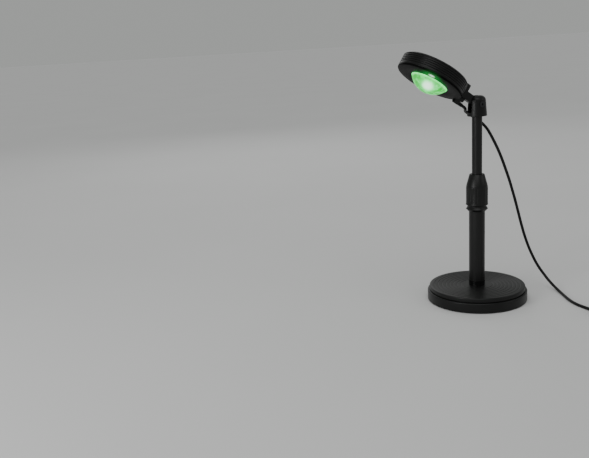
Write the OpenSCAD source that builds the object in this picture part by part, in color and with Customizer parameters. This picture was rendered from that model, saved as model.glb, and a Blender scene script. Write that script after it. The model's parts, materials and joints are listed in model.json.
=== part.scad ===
// Sunset projection lamp: a disc-shaped lamp head on a telescopic desk stand with a round
// weighted base, fed by a thin cable with a flat charger plug on its end.
// Millimetres. +Z is up and the origin is the centre of the base's underside. The head reaches
// out towards -X, and it tilts about an axis along Y at the top of the pole.

/* [Base] */
// Diameter of the round base
base_d = 120; // [112:1:140]
// Height of the base's top face above the table
base_h = 18.1; // [17.5:0.1:20]
// Height of the base's lower wall, up to the groove
skirt_h = 12.6; // [11.6:0.1:13]
// Height of the groove between the lower wall and the upper step
groove_h = 0.7; // [0.4:0.1:1]
// Depth of the groove behind the upper step
groove_depth = 1; // [0.5:0.1:1.5]
// How far the upper step stands back from the lower wall
step_in = 2.4; // [1.5:0.1:4]
// Radius of the base's rounded edges
base_edge_r = 1.2; // [0.6:0.1:1.6]
// Wall of the base shell
shell_t = 2.4; // [2:0.1:2.8]
// Number of fine rings pressed into the base's top face
top_rings = 8; // [0:1:9]
// Spacing of those rings
top_ring_pitch = 4.6; // [3.5:0.1:4.6]
// Clearance round the iron weight inside the base
weight_gap = 2.7; // [2:0.1:6]
// Thickness of the iron weight
weight_h = 9.6; // [9:0.1:9.8]
// Thickness of the bottom plate
plate_t = 1.8; // [1.6:0.1:2]
// Thickness of the rubber pad under the base
pad_t = 1.2; // [1:0.1:1.6]
// How far the rubber pad stands back from the bottom plate's edge
pad_margin = 3.3; // [2:0.1:6]
// Distance of the bottom screws from the centre
post_reach = 40; // [36:1:42]

/* [Pole] */
// Outer diameter of the lower tube
pole_d = 19; // [18:0.1:20]
// Wall of the lower tube
pole_wall = 1; // [0.8:0.1:1.2]
// Length of the lower tube
pole_len = 95.8; // [90:0.1:120]
// Outer diameter of the upper tube
slim_d = 12; // [11.5:0.1:12.4]
// Wall of the upper tube
slim_wall = 0.9; // [0.7:0.1:1.1]
// Length of the upper tube that shows above the lock nut
slim_out = 69.1; // [60:0.1:74]
// Length of the upper tube
slim_len = 141.4; // [139:0.1:149]
// Height of the black shoulder at the foot of the lower tube
foot_h = 6.1; // [4:0.1:8]
// How far the foot's spigot reaches into the lower tube
foot_spigot = 9.8; // [6:0.1:10]
// Height of the guide bush on the upper tube's lower end
bush_h = 11; // [8:0.5:12]

/* [Collar] */
// Outer diameter of the collar's sharp ring
ring_d = 26; // [25:0.1:27]
// Diameter of the collar's neck
neck_d = 22.4; // [22:0.1:22.8]
// Diameter of the collar's threaded part
thread_d = 21.8; // [21.4:0.1:22]
// Diameter of the lock nut's body
nut_d = 25.8; // [25.4:0.1:26.8]
// Height of the lock nut
nut_h = 37.2; // [36.4:0.1:38.4]
// Diameter of the lock nut's top face
nut_top_d = 17.8; // [16.6:0.1:18.6]
// Number of shallow flutes around the lock nut
nut_flutes = 20; // [12:1:24]

/* [Clevis] */
// Diameter of the clevis cap at its lower edge
cap_d = 23.1; // [22.4:0.1:24]
// Diameter of the clevis cap at its shoulder
cap_top_d = 20.4; // [19.8:0.1:21]
// Height of the clevis cap
cap_h = 23.7; // [23:0.1:25.5]
// Height of the tilt axis above the cap's lower edge
pivot_up = 14; // [13.6:0.1:14.2]
// Diameter of the hinge bolt
bolt_d = 4; // [3:0.1:4.2]
// Angle of the arm above the horizontal at rest
rest_tilt = 34; // [0:1:60]
// Width of the arm and its eye
arm_w = 6; // [5:0.1:6.4]
// Height of the arm
arm_h = 9.2; // [8:0.1:9.4]
// Diameter of the eye around the hinge bolt
eye_d = 14; // [12:0.1:14.2]

/* [Head] */
// Diameter of the lamp head
head_d = 80; // [78:1:90]
// Thickness of the lamp head
head_t = 17; // [16.6:0.1:19]
// Distance from the tilt axis to the centre of the head
head_reach = 71; // [70:0.5:80]
// How far the head's middle lies below the arm's centre line
head_drop = 4; // [3:0.1:5]
// Number of grooves around the head's rim
rim_grooves = 5; // [0:1:5]
// Spacing of the rim grooves
rim_groove_pitch = 2.3; // [2:0.1:2.4]
// Width of a rim groove
rim_groove_w = 1.1; // [0.6:0.1:1.3]
// Depth of a rim groove
rim_groove_depth = 0.8; // [0.4:0.1:1.2]
// Chamfer around the head's back edge
back_chamfer = 1.6; // [1:0.1:2]
// Chamfer around the head's front edge
front_chamfer = 1; // [0.5:0.1:1.3]
// Wall of the head housing at its rim
rim_t = 4; // [3:0.1:4.5]
// Diameter of the cover in the head's back
cover_d = 64; // [58:1:66]
// Width of the bracket's pad on the rim
pad_side = 17; // [15:0.5:20]
// Width of the bracket's lower tongue, where the cable leaves
tongue_w = 8.4; // [7.6:0.1:10]

/* [Lens] */
// Diameter of the lens
lens_d = 44; // [40:0.5:46]
// Height of the lens above the head's face
lens_rise = 12.3; // [8:0.1:14]
// Width of the flange that holds the lens
lens_flange = 2; // [1.5:0.1:2.5]
// Diameter of the colour filter
filter_d = 24; // [20:0.5:24]
// Diameter of the light source
led_d = 10; // [6:0.5:11]

/* [Cable] */
// Diameter of the cable
cable_d = 3.5; // [3:0.1:3.8]
// Outer radius of the coil, at the middle of the cable
coil_r = 23; // [22:0.5:26]
// Step of the coil from turn to turn and from layer to layer
coil_pitch = 4; // [4:0.1:4.4]
// Layers in the coil
coil_layers = 4; // [2:2:4]
// Turns in a layer of the coil
layer_turns = 2.15; // [1.9:0.05:2.6]
// Width of the charger plug's grip
grip_w = 15.6; // [13:0.1:18]
// Length of the charger plug's grip
grip_len = 24; // [18:0.5:30]
// Thickness of the charger plug's grip
grip_t = 8.4; // [7.5:0.1:10]

/* [Fits] */
// Radial clearance of a part that turns or slides
run_gap = 0.08; // [0.05:0.01:0.1]
// Clearance between fixed parts
seat_gap = 0.05; // [0.03:0.01:0.08]

/* [Hidden] */
$fn = 96;

plastic_black = "#1d1f1d";
paint_black = "#262826";
metal_black = "#202220";
rubber_black = "#151615";
steel = "#9aa0a3";
brass = "#b8974a";
iron = "#4a4a4c";
board_green = "#1f5a38";
lamp_green = "#4dff6a";
glass = "#c9ffd2";
eps = 0.01;

// The base, from the table upwards
base_r = base_d / 2;
step_r = base_r - step_in;
groove_r = step_r - groove_depth;
shell_foot = pad_t - 0.4;
skirt_in_r = base_r - shell_t;
step_in_r = groove_r - shell_t;
step_z = skirt_h + groove_h;
top_t = shell_t;
plate_z = pad_t;
plate_r = skirt_in_r - 0.3;
weight_z = plate_z + plate_t + seat_gap;
weight_top = weight_z + weight_h;
weight_r = step_in_r - weight_gap;
pad_r = plate_r - pad_margin;
post_r = 4;
post_turn = 30;
post_pilot_r = 1.5;
base_screw_head_r = 2.9;
base_screw_head_h = 0.9;
base_screw_len = 10;
ring_groove_r = 1;
ring_groove_sink = 0.35;

// The foot and the lower tube
pole_r = pole_d / 2;
pole_in_r = pole_r - pole_wall;
foot_r = pole_r + 0.25;
foot_pin_r = 7;
foot_screw_r = 3;
foot_bore_len = 15;
pole_z = base_h + foot_h;
pole_top = pole_z + pole_len;
stem_head_r = 5.2;
stem_head_h = 4;
stem_washer_r = 7.4;
stem_washer_t = 1.2;
counterbore_r = 8;
counterbore_h = 6;

// The collar on the lower tube, measured up from its lower edge
collar_grip = 8.8;
collar_z = pole_top - collar_grip;
ring_r = ring_d / 2;
ring_up = 2.7;
neck_r = neck_d / 2;
neck_z = collar_z + 2 * ring_up;
nut_z = collar_z + 7.5;
thread_r = thread_d / 2;
thread_top = collar_z + 22.8;
thread_pitch = 2;
thread_ridge = 0.4;
thread_core_r = thread_r - thread_ridge;
threads = floor((thread_top - nut_z) / thread_pitch - 0.5);
collar_wall = 1.3;
collar_bevel = 0.3;
nut_foot_gap = 0.25;
finger_foot_r = 8.8;
finger_tip_r = 7.4;
finger_foot_h = 0.6;
finger_root = 2;
finger_gap = 0.3;
finger_top = thread_top + 17;
finger_slot_w = 1.2;
finger_slots = 4;

// The upper tube and what rides on its lower end
slim_r = slim_d / 2;
slim_in_r = slim_r - slim_wall;
nut_top = nut_z + nut_h;
cap_z = nut_top + slim_out;
socket_depth = 3.3;
cap_pin_len = 13;
retainer_pin_len = 9;
slim_top = cap_z + socket_depth;
slim_z = slim_top - slim_len;
retainer_t = 2;
bush_z = slim_z + seat_gap;
clip_z = bush_z + bush_h + 0.3;
clip_t = 1;
clip_groove = 0.3;
bush_r = pole_in_r - run_gap;

// The clevis at the top of the upper tube
cap_r = cap_d / 2;
cap_top_r = cap_top_d / 2;
cap_corner = 6;
cap_top = cap_z + cap_h;
pivot_z = cap_z + pivot_up;
bolt_r = bolt_d / 2;
washer_t = 0.5;
washer_r = 6.4;
slot_w = arm_w + 2 * (washer_t + 2 * seat_gap);
slot_r = eye_d / 2 + 0.4;
slot_floor = cap_z + socket_depth + 1;
slot_back = arm_h / 2 + 0.6;
bolt_head_r = 3.6;
bolt_head_h = 2.2;
bolt_seat = slot_w / 2 + 4.6;
nut_seat = slot_w / 2 + 3.4;
hex_nut_r = 3.9;
hex_nut_t = 2.6;

// The head, measured from its face (0) to its back (head_t) in its own upright frame
head_r = head_d / 2;
face_z = -head_drop - head_t / 2;
bezel_t = 2;
bezel_skirt_h = 3;
back_wall = 4;
cover_sink = 1.5;
cover_r = cover_d / 2;
cavity_r = head_r - rim_t;
cavity_top = head_t - back_wall;
board_t = 1.5;
board_r = 18;
board_z = cavity_top - board_t;
led_r = led_d / 2;
led_t = 1.2;
lens_r = lens_d / 2;
lens_flange_t = 1.3;
lens_seat = bezel_t + lens_flange_t;
lens_ball_r = (lens_r * lens_r + lens_rise * lens_rise) / (2 * lens_rise);
gasket_t = 0.8;
tube_z = lens_seat + gasket_t;
filter_r = filter_d / 2;
filter_t = 1;
ledge_r = filter_r - 1.5;
ledge_z = board_z - 1.6;
filter_ring_t = 0.8;
hub_r = filter_r + 2;
first_groove = head_t - back_chamfer - 1.2;
cover_screw_reach = cover_r - 5;
cover_screw_turn = 60;
board_screw_reach = board_r - 2;
driver_x = 6 - cavity_r;
driver_w = 16;
driver_t = 1.4;

// The bracket between the head and the clevis, in the arm's frame
pad_t_min = 6.5;
bracket_face = head_reach - head_r - pad_t_min;
pad_low = -6;
pad_high = 11;
corner_r = 2;
bracket_screw_side = pad_side / 2 - 2.7;
bracket_screw_z = 0.6;
bracket_screw_r = 1.2;
bracket_screw_head_r = 2.3;
bracket_screw_head_h = 1.3;
cable_exit_z = face_z + 0.2;
channel_r = 1.6;
wire_r = 1.25;
wire_in_z = face_z + 7;
boot_len = 6.5;
boot_r = 2.3;
boot_stub_r = boot_r - 0.4;
tongue_end_r = boot_stub_r + 0.7;
boot_stub_len = 2;
wire_start_x = bracket_face + boot_stub_len + 2 * seat_gap;
channel_turn_x = wire_start_x + wire_r + seat_gap;

// The cable's free route, from the grommet on the head to the coil beside the base
cable_r = cable_d / 2;
head_run = [[-21.6, 0, 238.7], [-18, 0.5, 236.4], [-14.9, 2.7, 234.4], [-12.3, 6.1, 232.7],
    [-9.4, 10.2, 231], [-4.6, 13.6, 228.4], [1.4, 14.9, 225], [7.6, 13.4, 220.8],
    [12.6, 9.8, 216], [16.6, 6, 210.4]];
mast_run = [[19.9, 3.7, 204.5], [22.9, 2.1, 198.2], [26.1, 0.8, 191.4], [29.2, -0.4, 184.5],
    [32.1, -1.5, 177.4], [34.9, -2.5, 170], [37.5, -3.4, 162.5], [40.1, -4.3, 154.8],
    [42.7, -5.2, 147]];
drop_run = [[45.4, -6, 138.2], [48.1, -6.7, 129], [50.7, -7.4, 120], [53.2, -7.9, 111],
    [55.8, -8.2, 102], [58.5, -8.3, 93], [61.5, -8.2, 84], [64.9, -7.8, 75],
    [68.7, -7.1, 66.5], [72.9, -6.3, 58], [77.4, -5.7, 49.5], [82.1, -5.5, 41],
    [86.7, -6.2, 32.5], [91, -8.2, 24.5], [94.8, -12, 17], [97.3, -17.3, 10.5],
    [98.1, -24.2, 6], [97.1, -32.2, 3.3], [94.8, -40.6, 2], [91.5, -49, 1.75],
    [88, -57.5, 1.75], [84.5, -66, 1.75], [81.5, -75, 1.75], [79.5, -84, 1.75],
    [79, -93, 1.75], [79, -102, 1.9], [79, -112, 2.4], [79, -122, 2.4]];
route = concat(head_run, mast_run, drop_run);
head_end = len(head_run) - 1;
mast_end = head_end + len(mast_run);
drop_end = len(route) - 1;
tube_sides = 8;

// The coil: piled loops that spiral in and out again, then a tail that runs down to the plug
coil_entry = route[drop_end];
coil_centre = [coil_entry[0] + coil_r, coil_entry[1] - 10];
coil_z = coil_entry[2];
coil_rings = 24;
coil_sides = 6;
coil_turns = coil_layers * layer_turns;
tail_turns = 0.54;
tail_step = coil_pitch + 0.6;
tail_straight = 10;
plug_z = grip_t / 2 + 0.1;
tail_angle = 180 + 360 * (coil_turns + tail_turns);
tail_dir = [-sin(tail_angle), cos(tail_angle), 0];
tail_end = coil_point(coil_turns + tail_turns) + tail_straight * tail_dir;
coil_path = concat([coil_entry],
    [for (i = [0 : round(coil_turns * coil_rings)]) coil_point(i / coil_rings)],
    [for (i = [1 : round(tail_turns * coil_rings)]) coil_point(coil_turns + i / coil_rings)],
    [tail_end]);
tie_angle = 305;
tie_w = 7;
tie_t = 0.5;

// The charger plug on the cable's end
plug_neck_len = 8;
shell_w = 12;
shell_h = 4.5;
shell_len = 18.75;
shell_hidden = 7;
shell_wall = 0.35;
tongue_t = 1.8;
plug_x0 = plug_neck_len + grip_len;

function smooth(f) = let (g = min(1, max(0, f))) g * g * (3 - 2 * g);
function unit(v) = v / norm(v);

// Distance of the coil's cable from the coil's centre after t turns
function coil_radius(t) =
    let (layer = min(coil_layers - 1, floor(t / layer_turns)),
        inward = coil_pitch * (t - layer * layer_turns))
    layer % 2 == 0 ? coil_r - inward : coil_r - coil_pitch * layer_turns + inward;
// Height of the coil's cable after t turns: a layer is climbed in the half turn of each reversal
function coil_height(t) = coil_z
    + coil_pitch * sum([for (k = [1 : coil_layers - 1]) smooth((t - k * layer_turns + 0.25) / 0.5)]);
function coil_point(t) =
    let (angle = 180 + 360 * t,
        past = max(0, t - coil_turns) / tail_turns,
        top = coil_height(coil_turns),
        r = past > 0 ? coil_radius(coil_turns) + tail_step * smooth(past / 0.4) : coil_radius(t),
        z = past > 0 ? top + (plug_z - top) * smooth((past - 0.04) / 0.96) : coil_height(t))
    [coil_centre[0] + r * cos(angle), coil_centre[1] + r * sin(angle), z];
function sum(v, i = 0) = i >= len(v) ? 0 : v[i] + sum(v, i + 1);

// Directions along a run of points, and the ring normals that follow them without twisting
function tangents(p) = [for (i = [0 : len(p) - 1])
    unit(p[min(i + 1, len(p) - 1)] - p[max(i - 1, 0)])];
function normals(t, i = 0, last = [0, 0, 1]) = i >= len(t) ? [] :
    let (n = unit(last - (last * t[i]) * t[i])) concat([n], normals(t, i + 1, n));
function slice(v, a, b) = [for (i = [a : b]) v[i]];
function path_length(p) = sum([for (i = [1 : len(p) - 1]) norm(p[i] - p[i - 1])]);
// Least distance between points of a path that are more than half a turn apart
function least_gap(p, apart) = min([for (i = [0 : len(p) - 1 - apart])
    min([for (j = [i + apart : len(p) - 1]) norm(p[i] - p[j])])]);

echo(str("Free cable ", round(path_length(route)), " mm, coil and tail ",
    round(path_length(coil_path)), " mm, least gap of the coil to itself ",
    least_gap(coil_path, coil_rings / 2) - cable_d, " mm"));

module swept_tube(points, directions, r, sides) {
    n = normals(directions);
    rings = len(points);
    verts = [for (i = [0 : rings - 1]) for (k = [0 : sides - 1])
        points[i] + r * (cos(360 * k / sides) * n[i]
            + sin(360 * k / sides) * cross(directions[i], n[i]))];
    walls = [for (i = [0 : rings - 2]) for (k = [0 : sides - 1])
        let (a = i * sides + k, b = i * sides + (k + 1) % sides)
        each [[a, a + sides, b], [b, a + sides, b + sides]]];
    polyhedron(verts, concat(walls, [[for (k = [0 : sides - 1]) k]],
        [[for (k = [sides - 1 : -1 : 0]) (rings - 1) * sides + k]]));
}

module ring(r_out, r_in, z0, z1) {
    translate([0, 0, z0]) difference() {
        cylinder(r = r_out, h = z1 - z0);
        translate([0, 0, -1]) cylinder(r = r_in, h = z1 - z0 + 2);
    }
}

module disc(r, z0, z1) {
    translate([0, 0, z0]) cylinder(r = r, h = z1 - z0);
}

// A half section from the axis out to r, with its outer top corner rounded
module round_block(r, z0, z1, corner) {
    translate([0, z0]) square([r - corner, z1 - z0]);
    translate([0, z0]) square([r, z1 - z0 - corner]);
    translate([r - corner, z1 - corner]) intersection() {
        circle(r = corner);
        square(corner);
    }
}

module round_rect(w, h, r) {
    square([w - 2 * r, h], center = true);
    square([w, h - 2 * r], center = true);
    for (x = [-1, 1], y = [-1, 1]) translate([x * (w / 2 - r), y * (h / 2 - r)]) circle(r = r);
}

module around(count, reach, start = 0) {
    for (i = [0 : count - 1]) rotate([0, 0, start + i * 360 / count]) translate([reach, 0, 0])
        children();
}

// The arm's frame: origin on the tilt axis, +X along the arm, +Z towards the head's back
module at_arm() {
    translate([0, 0, pivot_z]) rotate([0, rest_tilt, 0]) rotate([0, 0, 180]) children();
}

// The head's frame: origin at the centre of its face, +Z towards its back
module at_head() {
    at_arm() translate([head_reach, 0, face_z]) children();
}

// The plug's frame: origin where the cable enters it, +X towards the contacts
module at_plug() {
    translate([tail_end[0], tail_end[1], plug_z]) rotate([0, 0, tail_angle + 90]) children();
}

// ---- base ----

module base_shell() {
    color(plastic_black) difference() {
        union() {
            rotate_extrude() difference() {
                union() {
                    round_block(base_r, shell_foot, skirt_h, base_edge_r);
                    translate([0, skirt_h - 1]) square([groove_r, groove_h + 2]);
                    translate([0, step_z]) round_block(step_r, 0, base_h - step_z, base_edge_r);
                }
                square([skirt_in_r, skirt_h - shell_t]);
                square([step_in_r, base_h - top_t]);
                if (top_rings > 0) for (i = [0 : top_rings - 1])
                    translate([step_r - 6 - i * top_ring_pitch,
                        base_h + ring_groove_r - ring_groove_sink]) circle(r = ring_groove_r);
            }
            ring(foot_pin_r + 4, foot_pin_r, weight_top + seat_gap, base_h - top_t + 1);
            around(3, post_reach, post_turn)
                disc(post_r, plate_z + plate_t + seat_gap, base_h - top_t + 1);
        }
        disc(foot_pin_r + seat_gap, 0, base_h + 1);
        around(3, post_reach, post_turn) disc(post_pilot_r, 0, base_screw_len + plate_z + 1);
    }
}

module base_weight() {
    color(iron) difference() {
        disc(weight_r, weight_z, weight_top);
        around(3, post_reach, post_turn) disc(post_r + 0.5, 0, base_h);
        disc(counterbore_r, 0, weight_z + counterbore_h);
        disc(foot_screw_r + 0.3, 0, base_h);
    }
}

module base_plate() {
    color(plastic_black) difference() {
        disc(plate_r, plate_z, plate_z + plate_t);
        around(3, post_reach, post_turn) {
            disc(post_pilot_r + 0.2, 0, base_h);
            disc(base_screw_head_r + 0.2, 0, plate_z + base_screw_head_h + seat_gap);
        }
    }
}

module base_pad() {
    color(rubber_black) disc(pad_r, 0, pad_t);
}

module base_screws() {
    color(steel) around(3, post_reach, post_turn) difference() {
        union() {
            disc(base_screw_head_r, plate_z, plate_z + base_screw_head_h);
            disc(post_pilot_r - seat_gap, plate_z, plate_z + base_screw_len);
        }
        for (a = [0, 90]) rotate([0, 0, a]) translate([-1.6, -0.3, plate_z - 1]) cube([3.2, 0.6, 1.5]);
    }
}

module stem_washer() {
    color(steel) ring(stem_washer_r, foot_screw_r + 0.3,
        weight_z + counterbore_h - stem_washer_t, weight_z + counterbore_h);
}

module stem_screw() {
    head_top = weight_z + counterbore_h - stem_washer_t;
    color(steel) difference() {
        union() {
            translate([0, 0, head_top - stem_head_h]) cylinder(r = stem_head_r, h = stem_head_h, $fn = 6);
            disc(foot_screw_r - seat_gap, head_top - 1, weight_top + foot_bore_len - 1);
        }
        disc(1.6, 0, head_top - stem_head_h + 0.8);
    }
}

module foot_socket() {
    color(plastic_black) difference() {
        union() {
            disc(foot_pin_r, weight_top + seat_gap, base_h + eps);
            disc(foot_r, base_h, pole_z);
            disc(pole_in_r - seat_gap, pole_z - eps, pole_z + foot_spigot);
        }
        disc(foot_screw_r, 0, weight_top + foot_bore_len);
    }
}

// ---- pole ----

module lower_tube() {
    color(paint_black) ring(pole_r, pole_in_r, pole_z, pole_top);
}

module collar_body() {
    color(plastic_black) difference() {
        union() {
            rotate_extrude() polygon([[0, collar_z], [pole_r + collar_wall - collar_bevel, collar_z],
                [pole_r + collar_wall, collar_z + collar_bevel], [ring_r, collar_z + ring_up],
                [neck_r, neck_z], [neck_r, nut_z - 2 * nut_foot_gap],
                [thread_core_r, nut_z - nut_foot_gap], [thread_core_r, thread_top],
                [finger_foot_r, thread_top + finger_foot_h], [finger_tip_r, finger_top],
                [0, finger_top]]);
            rotate_extrude() for (i = [0 : threads - 1])
                let (z = nut_z + (i + 0.75) * thread_pitch, flank = 0.4 * thread_pitch,
                    crest = 0.1 * thread_pitch)
                polygon([[thread_core_r - thread_ridge, z - flank], [thread_core_r, z - flank],
                    [thread_r, z - crest], [thread_r, z + crest],
                    [thread_core_r, z + flank], [thread_core_r - thread_ridge, z + flank]]);
        }
        disc(pole_r + seat_gap, 0, pole_top + seat_gap);
        disc(slim_r + run_gap, 0, finger_top + 1);
        for (i = [0 : finger_slots - 1]) rotate([0, 0, i * 360 / finger_slots])
            translate([0, -finger_slot_w / 2, thread_top + finger_root])
                cube([neck_r, finger_slot_w, nut_h]);
    }
}

module lock_nut() {
    body_r = nut_d / 2;
    lip_z = nut_z + 0.6;
    bend_a = 15;
    bend_r = 18;
    bend_z = nut_top - (body_r - bend_r * (1 - cos(bend_a)) - nut_top_d / 2) / tan(bend_a)
        - bend_r * sin(bend_a);
    bend = [for (a = [0 : 3 : bend_a]) [body_r - bend_r * (1 - cos(a)), bend_z + bend_r * sin(a)]];
    color(plastic_black) difference() {
        rotate_extrude() polygon(concat([[0, nut_z], [body_r, nut_z], [body_r + 0.35, lip_z],
            [body_r, lip_z + 1.6]], bend, [[nut_top_d / 2, nut_top - 0.3],
            [nut_top_d / 2 - 0.3, nut_top], [0, nut_top]]));
        disc(thread_r + run_gap, 0, thread_top + finger_foot_h + seat_gap);
        rotate_extrude() polygon([[0, thread_top], [finger_foot_r + finger_gap, thread_top],
            [finger_foot_r + finger_gap, thread_top + finger_foot_h],
            [finger_tip_r + finger_gap, finger_top + finger_gap], [0, finger_top + finger_gap]]);
        disc(slim_r + 0.35, 0, nut_top + 1);
        around(nut_flutes, body_r + 1.35) disc(1.6, lip_z + 2.4, bend_z + 1);
    }
}

module guide_bush() {
    color("#d8d8d2") ring(bush_r, slim_r + run_gap, bush_z, bush_z + bush_h);
}

module bush_retainer() {
    color(plastic_black) {
        disc(slim_r + 1.3, slim_z - retainer_t, slim_z);
        disc(slim_in_r - seat_gap, slim_z - eps, slim_z + retainer_pin_len);
    }
}

module bush_clip() {
    color(steel) difference() {
        ring(slim_r + 1.5, slim_r - clip_groove + seat_gap, clip_z, clip_z + clip_t);
        translate([0, -2, clip_z - 1]) cube([slim_d, 4, clip_t + 2]);
    }
}

module upper_tube() {
    color(paint_black) difference() {
        ring(slim_r, slim_in_r, slim_z, slim_top);
        ring(slim_d, slim_r - clip_groove, clip_z - seat_gap, clip_z + clip_t + seat_gap);
    }
}

// ---- clevis and hinge ----

module clevis_cap() {
    shoulder = cap_top - cap_corner;
    color(plastic_black) difference() {
        union() {
            rotate_extrude() {
                polygon([[0, cap_z], [cap_r - 0.3, cap_z], [cap_r, cap_z + 0.5],
                    [cap_top_r, shoulder], [0, shoulder]]);
                translate([0, shoulder - eps])
                    round_block(cap_top_r, 0, cap_corner + eps, cap_corner);
            }
            disc(slim_in_r - seat_gap, cap_z - cap_pin_len, cap_z + 1);
        }
        ring(slim_r + seat_gap, slim_in_r - seat_gap, cap_z - 1, slim_top + seat_gap);
        translate([0, 0, pivot_z]) rotate([90, 0, 0])
            cylinder(r = slot_r, h = slot_w, center = true);
        translate([-cap_d, -slot_w / 2, slot_floor]) cube([cap_d, slot_w, cap_h]);
        translate([-cap_d, -slot_w / 2, pivot_z]) cube([cap_d + slot_back, slot_w, cap_h]);
        translate([0, cap_d, pivot_z]) rotate([90, 0, 0])
            cylinder(r = bolt_r + seat_gap, h = 2 * cap_d);
        translate([0, -bolt_seat, pivot_z]) rotate([90, 0, 0])
            cylinder(r = bolt_head_r + 0.3, h = cap_d);
        translate([0, nut_seat, pivot_z]) rotate([-90, 0, 0])
            cylinder(r = hex_nut_r + 0.15, h = cap_d, $fn = 6);
    }
}

module hinge_bolt() {
    color(steel) translate([0, 0, pivot_z]) rotate([90, 0, 0]) difference() {
        union() {
            translate([0, 0, bolt_seat]) cylinder(r = bolt_head_r, h = bolt_head_h);
            translate([0, 0, -nut_seat - hex_nut_t]) cylinder(r = bolt_r,
                h = nut_seat + hex_nut_t + bolt_seat + eps);
        }
        translate([0, 0, bolt_seat + 1]) cylinder(r = 1.5, h = bolt_head_h, $fn = 6);
    }
}

module hinge_nut() {
    color(steel) translate([0, nut_seat, pivot_z]) rotate([-90, 0, 0]) difference() {
        cylinder(r = hex_nut_r, h = hex_nut_t, $fn = 6);
        translate([0, 0, -1]) cylinder(r = bolt_r + seat_gap, h = hex_nut_t + 2);
    }
}

module hinge_washers() {
    color("#d8d8d2") for (side = [-1, 1])
        translate([0, side * (arm_w / 2 + seat_gap + washer_t / 2), pivot_z]) rotate([90, 0, 0])
            difference() {
                cylinder(r = washer_r, h = washer_t, center = true);
                cylinder(r = bolt_r + seat_gap, h = washer_t + 1, center = true);
            }
}

// ---- bracket on the head ----

module bracket_outline() {
    translate([0, (pad_high + pad_low) / 2]) round_rect(pad_side, pad_high - pad_low, corner_r);
    hull() {
        translate([0, pad_low]) square([tongue_w, 2], center = true);
        translate([0, cable_exit_z]) circle(r = tongue_end_r);
    }
}

module head_bracket() {
    color(plastic_black) at_arm() difference() {
        union() {
            rotate([90, 0, 0]) linear_extrude(height = arm_w, center = true) {
                circle(r = eye_d / 2);
                translate([0, -arm_h / 2]) square([bracket_face + 1, arm_h]);
            }
            translate([bracket_face, 0, 0]) rotate([90, 0, 90])
                linear_extrude(height = pad_t_min + pad_side / 8) bracket_outline();
        }
        rotate([90, 0, 0]) cylinder(r = bolt_r + run_gap, h = arm_w + 2, center = true);
        translate([head_reach, 0, face_z - 10])
            cylinder(r = head_r + seat_gap, h = head_t + 30);
        for (side = [-1, 1]) translate([bracket_face, side * bracket_screw_side, bracket_screw_z])
            rotate([0, 90, 0]) {
                cylinder(r = bracket_screw_r + 0.1, h = 20);
                translate([0, 0, -1]) cylinder(r = bracket_screw_head_r + 0.2,
                    h = bracket_screw_head_h + 1);
            }
        translate([bracket_face - 1, 0, cable_exit_z]) rotate([0, 90, 0])
            cylinder(r = boot_stub_r, h = boot_stub_len + 1);
        translate([bracket_face, 0, cable_exit_z]) rotate([0, 90, 0])
            cylinder(r = channel_r, h = channel_turn_x - bracket_face);
        translate([channel_turn_x, 0, cable_exit_z - channel_r])
            cylinder(r = channel_r, h = wire_in_z - cable_exit_z + 2 * channel_r);
        translate([channel_turn_x, 0, wire_in_z]) rotate([0, 90, 0])
            cylinder(r = channel_r, h = 10);
    }
}

module bracket_screws() {
    color(steel) at_arm() for (side = [-1, 1])
        translate([bracket_face, side * bracket_screw_side, bracket_screw_z]) rotate([0, 90, 0])
            difference() {
                union() {
                    cylinder(r = bracket_screw_head_r, h = bracket_screw_head_h);
                    cylinder(r = bracket_screw_r, h = pad_t_min + 5.5);
                }
                for (a = [0, 90]) rotate([0, 0, a]) translate([-1.3, -0.25, -1]) cube([2.6, 0.5, 1.6]);
            }
}

module cable_grommet() {
    color(rubber_black) at_arm() translate([bracket_face, 0, cable_exit_z]) rotate([0, -90, 0])
        difference() {
            union() {
                cylinder(r1 = boot_r, r2 = cable_r + 0.35, h = boot_len);
                translate([0, 0, seat_gap - boot_stub_len])
                    cylinder(r = boot_stub_r - seat_gap, h = boot_stub_len);
            }
            for (z = [1.5, 3.1, 4.7]) ring(boot_r + 1, cable_r + 0.05, z, z + 0.7);
        }
}

// ---- head ----

module head_housing() {
    color(metal_black) at_head() difference() {
        rotate_extrude() difference() {
            polygon([[0, bezel_t], [head_r, bezel_t], [head_r, head_t - back_chamfer],
                [head_r - back_chamfer, head_t], [0, head_t]]);
            translate([0, bezel_t - 1]) square([cavity_r, cavity_top - bezel_t + 1]);
            translate([0, head_t - cover_sink]) square([cover_r + 0.1, cover_sink + 1]);
            if (rim_grooves > 0) for (i = [0 : rim_grooves - 1])
                translate([head_r - rim_groove_depth, first_groove - i * rim_groove_pitch])
                    translate([0, -rim_groove_w / 2]) square([3, rim_groove_w]);
        }
        around(3, cover_screw_reach, cover_screw_turn) disc(1, head_t - back_wall + 0.6, head_t + 1);
        around(2, board_screw_reach, 90) disc(1, cavity_top - 1, cavity_top + 2.2);
        for (side = [-1, 1])
            translate([-head_r - 1, side * bracket_screw_side, bracket_screw_z - face_z])
                rotate([0, 90, 0]) cylinder(r = bracket_screw_r + seat_gap, h = 8);
        translate([-head_r - 1, 0, wire_in_z - face_z]) rotate([0, 90, 0])
            cylinder(r = channel_r, h = 8);
    }
}

module back_cover() {
    color(metal_black) at_head() difference() {
        disc(cover_r, head_t - cover_sink + seat_gap, head_t - 0.1);
        around(3, cover_screw_reach, cover_screw_turn) {
            disc(1.15, 0, head_t + 1);
            disc(2.1, head_t - 0.9, head_t + 1);
        }
    }
}

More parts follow.
